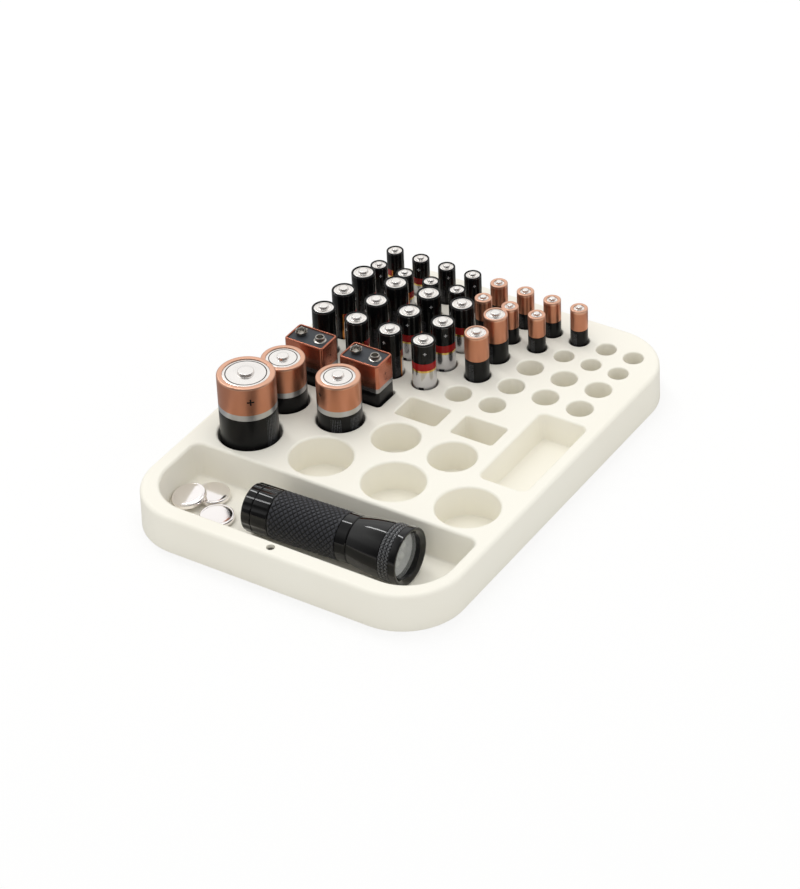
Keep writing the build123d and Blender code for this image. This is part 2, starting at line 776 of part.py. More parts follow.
# ---------------------------------------------------------------- placing
BLACK_AA = [(column, row) for row in range(3) for column in range(4)]
COPPER_AA = [(4, 0), (4, 1)]
BLACK_AAA = [(column, row) for row in range(2) for column in range(4)]
COPPER_AAA = [(4, 0), (5, 0), (6, 0), (7, 0), (4, 1), (5, 1), (6, 1)]


def save(name, solid):
    """Write one node."""
    export_step(solid, f"parts/{name}.step")


def place_small_cells(cell, centres, depth, filled, prefix):
    """Stand a small cell in each listed pocket, one node each."""
    for column, row, x, y in centres:
        if (column, row) in filled:
            name = f"{prefix}_row{row + 1}_col{column + 1}"
            save(name, Pos(x, y, standing_height(depth)) * cell)


def place_large_cells(body, disc, centres, depth, count, prefix):
    """Stand a large cell and its contact disc in the first pockets of a row."""
    for column, row, x, y in centres[:count]:
        spot = Pos(x, y, standing_height(depth))
        save(f"{prefix}_{column + 1}_body", spot * body)
        save(f"{prefix}_{column + 1}_contact", spot * disc)


def main():
    save("tray", make_tray())

    place_large_cells(
        large_cell_body(D_DIAMETER, D_LENGTH, D_DISC_RADIUS, D_NUB_HEIGHT),
        contact_disc(D_LENGTH, D_DISC_RADIUS, D_GROOVE_RADIUS, D_NUB_RADIUS, D_NUB_HEIGHT),
        D_CENTRES, D_DEPTH, 1, "d_cell",
    )
    place_large_cells(
        large_cell_body(C_DIAMETER, C_LENGTH, C_DISC_RADIUS, C_NUB_HEIGHT),
        contact_disc(C_LENGTH, C_DISC_RADIUS, C_GROOVE_RADIUS, C_NUB_RADIUS, C_NUB_HEIGHT),
        C_CENTRES, C_DEPTH, 2, "c_cell",
    )

    for column, row, x, y in NINE_VOLT_CENTRES[:2]:
        spot = Pos(x, y, standing_height(NINE_VOLT_DEPTH))
        save(f"nine_volt_{column + 1}_case", spot * nine_volt_case())
        save(f"nine_volt_{column + 1}_plate", spot * nine_volt_plate())
        save(f"nine_volt_{column + 1}_terminals", spot * nine_volt_terminals())

    aa = wrapped_cell(AA_DIAMETER, AA_LENGTH, AA_DISC_RADIUS, AA_NUB_RADIUS, AA_NUB_HEIGHT)
    place_small_cells(aa, AA_CENTRES, AA_DEPTH, BLACK_AA, "aa_black")
    place_small_cells(aa, AA_CENTRES, AA_DEPTH, COPPER_AA, "aa_copper")
    for disc, filled, prefix in (
        (AAA_BLACK_DISC_RADIUS, BLACK_AAA, "aaa_black"),
        (AAA_COPPER_DISC_RADIUS, COPPER_AAA, "aaa_copper"),
    ):
        aaa = wrapped_cell(AAA_DIAMETER, AAA_LENGTH, disc, AAA_NUB_RADIUS, AAA_NUB_HEIGHT)
        place_small_cells(aaa, AAA_CENTRES, AAA_DEPTH, filled, prefix)

    trough_floor = standing_height(TROUGH_DEPTH)
    save("coin_front", Pos(COIN_FLAT_FRONT[0], COIN_FLAT_FRONT[1], trough_floor) * make_coin())
    save("coin_back", Pos(COIN_FLAT_BACK[0], COIN_FLAT_BACK[1], trough_floor) * make_coin())
    save("coin_leaning", leaning_coin())

    torch = torch_location()
    save("torch_tail_cap", torch * tail_cap())
    save("torch_switch", torch * switch_module())
    save("torch_spring", torch * contact_spring())
    save("torch_tail_button", torch * tail_button())
    save("torch_barrel", torch * barrel())
    save("torch_grip", torch * grip())
    save("torch_head", torch * head())
    save("torch_bezel", torch * bezel())
    save("torch_lens", torch * lens())
    save("torch_reflector", torch * reflector())
    save("torch_leds", torch * leds())
    save("torch_led_module", torch * led_module())
    save("torch_battery_carrier", torch * battery_carrier())
    save("torch_carrier_cells", torch * carrier_cells())


main()
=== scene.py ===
import json
import math

import bpy
from mathutils import Matrix, Vector

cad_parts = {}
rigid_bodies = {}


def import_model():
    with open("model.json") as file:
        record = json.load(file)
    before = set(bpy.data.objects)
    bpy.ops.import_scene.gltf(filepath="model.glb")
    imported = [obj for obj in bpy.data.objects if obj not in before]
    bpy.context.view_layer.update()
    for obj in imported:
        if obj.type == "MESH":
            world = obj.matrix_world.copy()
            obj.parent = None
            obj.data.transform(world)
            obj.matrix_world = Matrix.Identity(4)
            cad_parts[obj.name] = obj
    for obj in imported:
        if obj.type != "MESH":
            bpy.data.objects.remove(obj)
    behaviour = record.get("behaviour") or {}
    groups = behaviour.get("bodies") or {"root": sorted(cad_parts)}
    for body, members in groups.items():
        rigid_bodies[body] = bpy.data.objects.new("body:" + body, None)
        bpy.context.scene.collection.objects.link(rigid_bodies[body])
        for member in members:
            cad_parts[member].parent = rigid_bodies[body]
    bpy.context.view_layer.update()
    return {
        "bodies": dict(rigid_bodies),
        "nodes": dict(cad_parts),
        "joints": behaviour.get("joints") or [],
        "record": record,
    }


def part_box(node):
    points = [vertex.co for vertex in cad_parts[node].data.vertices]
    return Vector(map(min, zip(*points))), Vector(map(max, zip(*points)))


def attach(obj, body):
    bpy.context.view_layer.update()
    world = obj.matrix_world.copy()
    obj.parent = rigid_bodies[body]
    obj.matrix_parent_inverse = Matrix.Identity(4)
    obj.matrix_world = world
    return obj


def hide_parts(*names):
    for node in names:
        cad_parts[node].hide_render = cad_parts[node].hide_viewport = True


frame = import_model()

# Metres, in the frame of the CAD model: the origin is on the surface that the tray stands on.
MM = 0.001
TRAY_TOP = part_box("tray")[1].z

# ---- camera: the photograph's view ----
CAMERA_AZIMUTH = 33.65  # degrees; 0 looks along +Y
CAMERA_ELEVATION = 35.98
CAMERA_ROLL = -2.48
CAMERA_DISTANCE = 2.01011
CAMERA_TARGET = Vector((0.00964, -0.02034, TRAY_TOP))
FOCAL_PIXELS = 3582.98
FRAME_HEIGHT_PIXELS = 889
SENSOR = 36.0
TOWARDS_CAMERA = math.radians(CAMERA_AZIMUTH - 90.0)  # its direction seen from above, from +X
DOME_LIGHT = (0.81, 0.81, 0.80, 1.0)  # the level that matt surfaces get from all round
# What shiny surfaces see: (height, level), with 0 at the horizon and below it and 1 overhead.
STUDIO_LEVELS = ((0.0, 0.55), (0.35, 0.70), (0.48, 1.0), (0.72, 1.0), (0.86, 0.50), (1.0, 0.36))
STUDIO_BLUE = 0.985  # the studio's blue as a share of its red and green
FRONT_DARKNESS = 0.22  # what shiny surfaces see in front, as a share of what they see behind
FRONT_FADE = (-0.15, 0.45)  # cosines of the turn off the camera's side: darkness begins, is full
FLOOR_WIDTH = 24.0
FLOOR_GAP = 0.00005  # how far the floor lies below the tray's foot
FLOOR_TONE = (0.82, 0.82, 0.81, 1.0)
FLOOR_TONE_IN_GLOSS = (0.42, 0.42, 0.42, 1.0)
FLOOR_TONE_SHOWN = (0.95, 0.95, 0.95, 1.0)
FLOOR_GLOW = 0.72  # how much of the floor that the camera sees is plain white


# ---------------------------------------------------------------- camera, light and floor
def make_camera():
    azimuth = math.radians(CAMERA_AZIMUTH)
    elevation = math.radians(CAMERA_ELEVATION)
    roll = math.radians(CAMERA_ROLL)
    back = Vector((
        math.sin(azimuth) * math.cos(elevation),
        -math.cos(azimuth) * math.cos(elevation),
        math.sin(elevation),
    ))
    level_right = Vector((math.cos(azimuth), math.sin(azimuth), 0.0))
    level_up = back.cross(level_right)
    right = level_right * math.cos(roll) + level_up * math.sin(roll)
    up = level_up * math.cos(roll) - level_right * math.sin(roll)
    data = bpy.data.cameras.new("camera")
    data.lens = FOCAL_PIXELS / FRAME_HEIGHT_PIXELS * SENSOR
    data.sensor_width = SENSOR
    data.clip_start = 0.05
    data.clip_end = 100.0
    camera = bpy.data.objects.new("camera", data)
    place = Matrix((right, up, back)).transposed().to_4x4()
    place.translation = CAMERA_TARGET + back * CAMERA_DISTANCE
    camera.matrix_world = place
    bpy.context.scene.collection.objects.link(camera)
    bpy.context.scene.camera = camera


def add_softbox(name, direction, distance, size, power):
    """A square or oblong area lamp that faces the middle of the tray."""
    data = bpy.data.lights.new(name, "AREA")
    data.shape = "RECTANGLE"
    data.size, data.size_y = size
    data.energy = power
    lamp = bpy.data.objects.new(name, data)
    away = Vector(direction).normalized()
    lamp.location = away * distance
    lamp.rotation_mode = "QUATERNION"
    lamp.rotation_quaternion = away.to_track_quat("Z", "Y")
    bpy.context.scene.collection.objects.link(lamp)


class Shader:
    """Wires one node material; numbers that are the same all over stay on the shader's sockets."""

    def __init__(self, name):
        self.material = bpy.data.materials.new(name)
        self.material.use_nodes = True
        self.tree = self.material.node_tree
        self.surface = self.tree.nodes["Principled BSDF"]

    def node(self, kind, **settings):
        made = self.tree.nodes.new(kind)
        for key, value in settings.items():
            setattr(made, key, value)
        return made

    def link(self, source, target):
        if hasattr(source, "default_value") or isinstance(source, bpy.types.NodeSocket):
            self.tree.links.new(source, target)
        else:
            target.default_value = source

    def set(self, **values):
        """Sets or links the shader's sockets, named in lower case with underscores."""
        for key, value in values.items():
            socket = self.surface.inputs[SOCKETS[key]]
            self.link(value, socket)

    def math(self, operation, first, second=0.0, third=0.0):
        made = self.node("ShaderNodeMath", operation=operation)
        for value, target in zip((first, second, third), made.inputs):
            self.link(value, target)
        return made.outputs[0]

    def inside(self, value, low, high):
        """1 where low < value < high, else 0."""
        above = self.math("GREATER_THAN", value, low)
        below = self.math("LESS_THAN", value, high)
        return self.math("MULTIPLY", above, below)

    def either(self, first, second):
        return self.math("MAXIMUM", first, second)

    def both(self, first, second):
        return self.math("MULTIPLY", first, second)

    def mix(self, share, first, second):
        """A colour between two colours."""
        made = self.node("ShaderNodeMix", data_type="RGBA")
        self.link(share, made.inputs[0])
        self.link(first, made.inputs[6])
        self.link(second, made.inputs[7])
        return made.outputs[2]

    def blend(self, share, first, second):
        """A number between two numbers."""
        made = self.node("ShaderNodeMix", data_type="FLOAT")
        self.link(share, made.inputs[0])
        self.link(first, made.inputs[2])
        self.link(second, made.inputs[3])
        return made.outputs[0]

    def place(self, scale=(1.0, 1.0, 1.0)):
        """Object coordinates, stretched."""
        coordinates = self.node("ShaderNodeTexCoord")
        mapping = self.node("ShaderNodeMapping")
        mapping.inputs["Scale"].default_value = scale
        self.link(coordinates.outputs["Object"], mapping.inputs["Vector"])
        return mapping.outputs[0]

    def noise(self, scale, detail=3.0, vector=None, roughness=0.5):
        made = self.node("ShaderNodeTexNoise")
        made.inputs["Scale"].default_value = scale
        made.inputs["Detail"].default_value = detail
        made.inputs["Roughness"].default_value = roughness
        self.link(vector or self.place(), made.inputs["Vector"])
        return made.outputs["Fac"]

    def ramp(self, value, low, high, from_low=0.3, from_high=0.7):
        """value from from_low to from_high becomes low to high, held beyond."""
        made = self.node("ShaderNodeMapRange")
        for target, number in zip(made.inputs[1:5], (from_low, from_high, low, high)):
            target.default_value = number
        self.link(value, made.inputs[0])
        return made.outputs[0]

    def bump(self, height, strength, distance):
        made = self.node("ShaderNodeBump")
        made.inputs["Strength"].default_value = strength
        made.inputs["Distance"].default_value = distance
        self.link(height, made.inputs["Height"])
        self.link(made.outputs[0], self.surface.inputs["Normal"])

    def wrap(self):
        """(turn from 0 to 1 round the piece, height in metres above its foot) from the UV map."""
        uv = self.node("ShaderNodeUVMap", uv_map="wrap")
        parts = self.node("ShaderNodeSeparateXYZ")
        self.link(uv.outputs[0], parts.inputs[0])
        return parts.outputs[0], parts.outputs[1]


SOCKETS = {
    "base_color": "Base Color",
    "metallic": "Metallic",
    "roughness": "Roughness",
    "ior": "IOR",
    "coat": "Coat Weight",
    "coat_roughness": "Coat Roughness",
    "specular": "Specular IOR Level",
    "transmission": "Transmission Weight",
    "alpha": "Alpha",
}


def rgb(red, green, blue):
    """A linear colour from display values of 0 to 255."""
    def linear(value):
        value /= 255.0
        return value / 12.92 if value <= 0.04045 else ((value + 0.055) / 1.055) ** 2.4
    return (linear(red), linear(green), linear(blue), 1.0)


def make_world():
    """White to the camera, even light for matt surfaces, and a studio dark in front for shiny ones."""
    world = bpy.data.worlds.new("studio")
    bpy.context.scene.world = world
    world.use_nodes = True
    tree = world.node_tree
    background = tree.nodes["Background"]
    coordinates = tree.nodes.new("ShaderNodeTexCoord")
    parts = tree.nodes.new("ShaderNodeSeparateXYZ")
    tree.links.new(coordinates.outputs["Generated"], parts.inputs[0])
    levels = tree.nodes.new("ShaderNodeValToRGB")
    tree.links.new(parts.outputs[2], levels.inputs[0])
    ramp = levels.color_ramp
    while len(ramp.elements) < len(STUDIO_LEVELS):
        ramp.elements.new(0.5)
    for element, (height, level) in zip(ramp.elements, STUDIO_LEVELS):
        element.position = height
        element.color = (level, level, level * STUDIO_BLUE, 1.0)
    towards = tree.nodes.new("ShaderNodeVectorMath")
    towards.operation = "DOT_PRODUCT"
    tree.links.new(coordinates.outputs["Generated"], towards.inputs[0])
    towards.inputs[1].default_value = (math.cos(TOWARDS_CAMERA), math.sin(TOWARDS_CAMERA), 0.0)
    front = tree.nodes.new("ShaderNodeMapRange")
    for target, number in zip(front.inputs[1:5], (*FRONT_FADE, 1.0, FRONT_DARKNESS)):
        target.default_value = number
    tree.links.new(towards.outputs["Value"], front.inputs[0])
    shiny = tree.nodes.new("ShaderNodeVectorMath")
    shiny.operation = "SCALE"
    tree.links.new(levels.outputs[0], shiny.inputs[0])
    tree.links.new(front.outputs[0], shiny.inputs["Scale"])
    path = tree.nodes.new("ShaderNodeLightPath")
    seen = background.inputs["Color"]
    for ray, first, second in (
        ("Is Camera Ray", None, (1.0, 1.0, 1.0, 1.0)),
        ("Is Glossy Ray", DOME_LIGHT, shiny.outputs[0]),
    ):
        mix = tree.nodes.new("ShaderNodeMix")
        mix.data_type = "RGBA"
        tree.links.new(path.outputs[ray], mix.inputs[0])
        if first is not None:
            mix.inputs[6].default_value = first
        if isinstance(second, tuple):
            mix.inputs[7].default_value = second
        else:
            tree.links.new(second, mix.inputs[7])
        tree.links.new(mix.outputs[2], seen)
        seen = mix.inputs[6]
    background.inputs["Strength"].default_value = 1.0


def make_floor():
    """A wide pale sheet that keeps the object's soft shadow."""
    half = FLOOR_WIDTH / 2
    corners = [(-half, -half, 0), (half, -half, 0), (half, half, 0), (-half, half, 0)]
    mesh = bpy.data.meshes.new("floor")
    mesh.from_pydata(corners, [], [(0, 1, 2, 3)])
    floor = bpy.data.objects.new("floor", mesh)
    floor.location.z = -FLOOR_GAP
    bpy.context.scene.collection.objects.link(floor)
    shader = Shader("floor")
    tree = shader.tree
    output = tree.nodes["Material Output"]
    tree.nodes.remove(shader.surface)
    path = shader.node("ShaderNodeLightPath")
    matt = shader.node("ShaderNodeBsdfDiffuse")
    tone = shader.mix(path.outputs["Is Glossy Ray"], FLOOR_TONE, FLOOR_TONE_IN_GLOSS)
    shader.link(tone, matt.inputs["Color"])
    shown = shader.node("ShaderNodeBsdfDiffuse")
    shown.inputs["Color"].default_value = FLOOR_TONE_SHOWN
    glow = shader.node("ShaderNodeEmission")
    glow.inputs["Strength"].default_value = 1.0
    seen = shader.node("ShaderNodeMixShader")
    seen.inputs[0].default_value = FLOOR_GLOW
    tree.links.new(shown.outputs[0], seen.inputs[1])
    tree.links.new(glow.outputs[0], seen.inputs[2])
    mix = shader.node("ShaderNodeMixShader")
    tree.links.new(path.outputs["Is Camera Ray"], mix.inputs[0])
    tree.links.new(matt.outputs[0], mix.inputs[1])
    tree.links.new(seen.outputs[0], mix.inputs[2])
    tree.links.new(mix.outputs[0], output.inputs["Surface"])
    mesh.materials.append(shader.material)


# ---------------------------------------------------------------- materials
RULES_ROUND = 84.0  # upright rules round a label, in columns
COLUMNS_ROUND = 7.0
# The black label's silver panel and its frame, as shares of a turn and of the label's length.
PANEL_TURNS = (0.28, 0.72)
FRAME_TURNS = (0.255, 0.745)
PANEL_TOP = 0.60
GOLD_HEIGHT = 0.025
BANDS_HEIGHT = 0.12
MARK_AT = 0.86
MARK_SIZES = (0.0010, 0.00022)  # half the length and half the width of its bars, in metres
LABEL_BLACK = (12, 12, 13)
METALLIC_SHARE = 0.9  # how metallic the shiny bands of a round cell are


def shade(colour, share):
    """The same colour at a share of its strength."""
    return tuple(share * value for value in colour[:3]) + (1.0,)


def tray_plastic():
    shader = Shader("tray_plastic")
    cloud = shader.noise(14.0)
    grain = shader.noise(900.0, detail=2.0)
    shader.set(
        base_color=shader.mix(shader.ramp(cloud, 0.0, 1.0), rgb(248, 244, 232), rgb(250, 247, 236)),
        roughness=shader.ramp(grain, 0.36, 0.46),
        specular=0.4,
    )
    shader.bump(shader.blend(0.3, grain, shader.noise(90.0)), 0.08, 0.0003)
    return shader.material


def print_lines(shader, turn, height, top):
    """Fine upright rules, broken up like a column of small print that says nothing."""
    rule = shader.math("FRACT", shader.math("MULTIPLY", turn, RULES_ROUND))
    rule = shader.math("LESS_THAN", rule, 0.34)
    column = shader.math("FRACT", shader.math("MULTIPLY", turn, COLUMNS_ROUND))
    column = shader.inside(column, 0.10, 0.66)
    spot = shader.node("ShaderNodeCombineXYZ")
    shader.link(shader.math("FLOOR", shader.math("MULTIPLY", turn, RULES_ROUND)), spot.inputs[0])
    shader.link(shader.math("MULTIPLY", height, 1400.0), spot.inputs[1])
    broken = shader.math("GREATER_THAN", shader.noise(1.0, 1.0, spot.outputs[0]), 0.46)
    reach = shader.inside(height, 0.004, top)
    return shader.both(shader.both(rule, column), shader.both(broken, reach))


def cross_mark(shader, turn, height, turn_at, height_at, around, arm, width):
    """A plus sign: turn_at and height_at are its middle, around is the piece's girth, in metres."""
    side = shader.math("MULTIPLY", shader.math("SUBTRACT", turn, turn_at), around)
    side = shader.math("ABSOLUTE", side)
    rise = shader.math("ABSOLUTE", shader.math("SUBTRACT", height, height_at))
    flat = shader.both(shader.math("LESS_THAN", side, arm), shader.math("LESS_THAN", rise, width))
    upright = shader.both(shader.math("LESS_THAN", side, width), shader.math("LESS_THAN", rise, arm))
    return shader.either(flat, upright)


def label_black(name, kind, diameter, length):
    """Black metallised label with a silver panel on its front half, set off by two plain bands."""
    shader = Shader(name)
    turn, height = shader.wrap()
    around = math.pi * diameter
    front = shader.inside(turn, *PANEL_TURNS)
    panel_top = PANEL_TOP * length
    gold_top = panel_top + GOLD_HEIGHT * length
    bands_top = panel_top + BANDS_HEIGHT * length
    panel = shader.both(front, shader.math("LESS_THAN", height, panel_top))
    gold = shader.both(front, shader.inside(height, panel_top, gold_top))
    red = shader.both(front, shader.inside(height, gold_top, bands_top))
    bars = shader.both(
        shader.inside(turn, 0.40, 0.47),
        shader.either(
            shader.inside(height, 0.12 * length, 0.20 * length),
            shader.inside(height, 0.26 * length, 0.40 * length),
        ),
    )
    edge = shader.both(
        shader.either(
            shader.inside(turn, FRAME_TURNS[0], PANEL_TURNS[0]),
            shader.inside(turn, PANEL_TURNS[1], FRAME_TURNS[1]),
        ),
        shader.math("LESS_THAN", height, bands_top),
    )
    roll = CONTACTS[kind]["roll"]
    corner = length - (CONTACTS[kind]["nub_height"] + roll) * MM
    lip = shader.inside(height, corner - 0.0001, corner + 0.45 * roll * MM)
    rules = shader.both(
        print_lines(shader, turn, height, 0.66 * length),
        shader.math("SUBTRACT", 1.0, front),
    )
    rules = shader.both(rules, shader.math("SUBTRACT", 1.0, edge))
    mark = cross_mark(shader, turn, height, 0.5, MARK_AT * length, around, *MARK_SIZES)
    back_mark = cross_mark(shader, turn, height, 0.02, MARK_AT * length, around, *MARK_SIZES)
    colour = shader.mix(panel, rgb(*LABEL_BLACK), rgb(206, 205, 208))
    colour = shader.mix(shader.both(bars, panel), colour, rgb(34, 34, 38))
    colour = shader.mix(edge, colour, rgb(205, 132, 62))
    colour = shader.mix(gold, colour, rgb(226, 192, 110))
    colour = shader.mix(red, colour, rgb(150, 30, 30))
    colour = shader.mix(rules, colour, rgb(84, 84, 88))
    colour = shader.mix(shader.either(mark, back_mark), colour, rgb(176, 176, 178))
    colour = shader.mix(lip, colour, rgb(112, 112, 116))
    shiny = shader.either(shader.either(panel, edge), shader.either(gold, lip))
    shiny = shader.both(shiny, shader.math("SUBTRACT", 1.0, shader.both(bars, panel)))
    streaks = shader.noise(60.0, vector=shader.place((1.0, 1.0, 0.1)))
    shader.set(
        base_color=colour,
        metallic=shader.math("MULTIPLY", shiny, METALLIC_SHARE),
        roughness=shader.ramp(streaks, 0.16, 0.24),
        specular=0.16,
        coat=0.08,
        coat_roughness=0.04,
    )
    return shader.material


def label_copper(name, diameter, length, split, band=0.0, mark_turn=None, mark_arm=0.0012):
    """Copper above, black below, with an optional silver band between and a plus sign; the rolled shoulder
    at the top carries a painted highlight.
    """
    shader = Shader(name)
    turn, height = shader.wrap()
    around = math.pi * diameter
    above = shader.math("GREATER_THAN", height, split)
    cloud = shader.noise(30.0, 1.0)
    copper = shader.mix(shader.ramp(cloud, 0.0, 1.0), rgb(194, 131, 103), rgb(200, 137, 109))
    # Painted highlight: the rolled shoulder near the top is painted a lighter copper in place of the lamp
    # light it reflects.
    rolled = shader.ramp(height, 0.0, 1.0, length - 0.0032, length - 0.0020)
    copper = shader.mix(rolled, copper, rgb(228, 178, 152))
    colour = shader.mix(above, rgb(*LABEL_BLACK), copper)
    shiny = above
    if band:
        silver = shader.inside(height, split - band, split)
        colour = shader.mix(silver, colour, rgb(186, 186, 188))
        shiny = shader.either(shiny, silver)
    rules = shader.both(
        print_lines(shader, turn, height, split - band - 0.002),
        shader.inside(turn, 0.55, 0.95),
    )
    colour = shader.mix(rules, colour, rgb(84, 86, 90))
    if mark_turn is not None:
        mark = cross_mark(
            shader, turn, height, mark_turn, length * 0.825, around, mark_arm, mark_arm * 0.22
        )
        colour = shader.mix(mark, colour, rgb(16, 12, 10))
        shiny = shader.both(shiny, shader.math("SUBTRACT", 1.0, mark))
    shader.set(
        base_color=colour,
        metallic=shader.math("MULTIPLY", shiny, METALLIC_SHARE),
        roughness=shader.ramp(cloud, 0.30, 0.36),
        specular=0.16,
        coat=0.08,
        coat_roughness=0.06,
    )
    return shader.material


def steel(name, colour, rough_low, rough_high):
    shader = Shader(name)
    scuff = shader.noise(60.0, 2.0)
    shader.set(
        base_color=shader.mix(shader.ramp(scuff, 0.0, 1.0), colour, shade(colour, 0.97)),
        metallic=1.0,
        roughness=shader.ramp(scuff, rough_low, rough_high),
    )
    return shader.material


def lens_glass(name, colour):
    """Clear enough to light what is behind it, with the gloss of glass."""
    shader = Shader(name)
    speck = shader.noise(400.0)
    shader.set(
        base_color=shader.mix(shader.ramp(speck, 0.0, 1.0), colour, shade(colour, 0.985)),
        roughness=shader.ramp(speck, 0.02, 0.04),
        specular=0.9,
        coat=0.5,
        coat_roughness=0.02,
        alpha=0.18,
    )
    return shader.material


def plastic(name, colour, rough_low, rough_high, bump=0.1, scale=1200.0, coat=0.0, specular=0.4):
    shader = Shader(name)
    grain = shader.noise(scale)
    shader.set(
        base_color=shader.mix(shader.ramp(grain, 0.0, 1.0), colour, shade(colour, 0.8)),
        roughness=shader.ramp(grain, rough_low, rough_high),
        specular=specular,
        coat=coat,
        coat_roughness=0.03,
    )
    shader.bump(grain, bump, 0.0001)
    return shader.material


def knurled(name, ridge_painted_light, groove, count, lead, rough_low, rough_high, specular):
    """Painted shade in the grooves and a painted highlight on the raised diamonds between them, both found
    from the label map.
    """
    shader = Shader(name)
    turn, height = shader.wrap()
    around = shader.math("MULTIPLY", turn, count)
    along = shader.math("MULTIPLY", height, 1.0 / (lead * MM))
    sides = []
    for operation in ("ADD", "SUBTRACT"):
        share = shader.math("FRACT", shader.math(operation, around, along))
        sides.append(shader.math("MINIMUM", share, shader.math("SUBTRACT", 1.0, share)))
    raised = shader.ramp(shader.math("MINIMUM", *sides), 0.0, 1.0, 0.06, 0.20)
    grain = shader.noise(2500.0)
    shader.set(
        # The groove colour is painted shade and the ridge colour is a painted highlight.
        base_color=shader.mix(raised, groove, ridge_painted_light),
        roughness=shader.ramp(grain, rough_low, rough_high),
        specular=specular,
    )
    shader.bump(grain, 0.2, 0.0001)
    return shader.material


def clear(name, colour, roughness, ior=1.49, clearness=1.0):
    shader = Shader(name)
    speck = shader.noise(400.0)
    shader.set(
        base_color=shader.mix(shader.ramp(speck, 0.0, 1.0), colour, shade(colour, 0.985)),
        roughness=shader.ramp(speck, roughness, roughness + 0.03),
        transmission=clearness,
        ior=ior,
    )
    return shader.material


# ---------------------------------------------------------------- mesh helpers
def skin(name, rings, bands, materials, heights, smooth_angle=32.0, closed=False):
    """A mesh skinned over rings of equal count; a ring of one point is a pole.

    bands gives each strip's material number, and heights each ring's place on the label map.
    """
    if closed:
        rings = rings + [rings[0]]
        heights = heights + [heights[0]]
    count = max(len(ring) for ring in rings)
    points = []
    starts = []
    for number, ring in enumerate(rings):
        if closed and number == len(rings) - 1:
            starts.append(starts[0])
            continue
        starts.append(len(points))
        points += [tuple(point) for point in ring]
    faces = []
    turns = []
    numbers = []
    for k in range(len(rings) - 1):
        low, high = starts[k], starts[k + 1]
        low_pole = len(rings[k]) == 1
        high_pole = len(rings[k + 1]) == 1
        for j in range(count):
            n = (j + 1) % count
            a, b = j / count, (j + 1) / count
            if low_pole:
                faces.append((low, high + n, high + j))
                turns.append(((a + b) / 2, heights[k], b, heights[k + 1], a, heights[k + 1]))
            elif high_pole:
                faces.append((low + j, low + n, high))
                turns.append((a, heights[k], b, heights[k], (a + b) / 2, heights[k + 1]))
            else:
                faces.append((low + j, low + n, high + n, high + j))
                turns.append((a, heights[k], b, heights[k], b, heights[k + 1], a, heights[k + 1]))
            numbers.append(bands[k])
    mesh = bpy.data.meshes.new(name)
    mesh.from_pydata(points, [], faces)
    for material in materials:
        mesh.materials.append(material)
    mesh.polygons.foreach_set("material_index", numbers)
    mesh.polygons.foreach_set("use_smooth", [True] * len(faces))
    layer = mesh.uv_layers.new(name="wrap")
    layer.data.foreach_set("uv", [value for face in turns for value in face])
    mesh.set_sharp_from_angle(angle=math.radians(smooth_angle))
    mesh.update()
    return mesh


def circle(radius, height, count):
    if radius <= 0:
        return [Vector((0.0, 0.0, height))]
    return [
        Vector((radius * math.cos(turn), radius * math.sin(turn), height))
        for turn in (2 * math.pi * j / count for j in range(count))
    ]


def rounding(centre_radius, centre_height, radius, start, end, steps):
    """(radius, height) points of an arc in the half section, from start to end degrees."""
    points = []
    for i in range(steps + 1):
        turn = math.radians(start + (end - start) * i / steps)
        points.append((centre_radius + radius * math.cos(turn), centre_height + radius * math.sin(turn)))
    return points


def lathe(name, profile, materials, count=64, smooth_angle=32.0, closed=False, second=()):
    """A turned mesh from (radius, height) points in millimetres, listed from the foot up the outside.

    second lists the strips that take the second material.
    """
    if not isinstance(materials, tuple):
        materials = (materials,)
    rings = [circle(radius * MM, height * MM, count) for radius, height in profile]
    heights = [height * MM for radius, height in profile]
    bands = [1 if strip in second else 0 for strip in range(len(rings))]
    return skin(name, rings, bands, materials, heights, smooth_angle, closed)


def add_piece(name, mesh, body, replaced=(), place=None):
    """An object of the scene that rides on a CAD body."""
    piece = bpy.data.objects.new(name, mesh)
    bpy.context.scene.collection.objects.link(piece)
    if place is not None:
        piece.matrix_world = place
    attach(piece, body)
    if replaced:
        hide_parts(*replaced)
    return piece


def standing_place(node, facing):
    """Where a cell stands, turned so that its label's front looks facing degrees off the camera."""
    low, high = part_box(node)
    turn = TOWARDS_CAMERA + math.radians(facing) - math.pi
    place = Matrix.Rotation(turn, 4, "Z")
    place.translation = ((low.x + high.x) / 2, (low.y + high.y) / 2, low.z)
    return place


# ---------------------------------------------------------------- round cells
# The contact's radii by family, in millimetres: edge of the label's lip, ring groove and nub; then
# the nub's height and the rounding of the label's end.
CONTACTS = {
    "d_cell": {"lip": 13.6, "groove": 11.7, "nub": 4.6, "nub_height": 1.6, "roll": 1.1},
    "c_cell": {"lip": 10.0, "groove": 8.1, "nub": 3.3, "nub_height": 1.5, "roll": 1.0},
    "aa_black": {"lip": 5.9, "groove": 4.6, "nub": 2.7, "nub_height": 1.3, "roll": 0.7},
    "aa_copper": {"lip": 5.7, "groove": 4.6, "nub": 2.7, "nub_height": 1.3, "roll": 0.7},
    "aaa_black": {"lip": 4.2, "groove": 3.3, "nub": 1.8, "nub_height": 1.0, "roll": 0.55},
    "aaa_copper": {"lip": 3.2, "groove": 2.6, "nub": 1.8, "nub_height": 1.0, "roll": 0.6},
}
FILM = 0.3  # how far the label stands above what it wraps
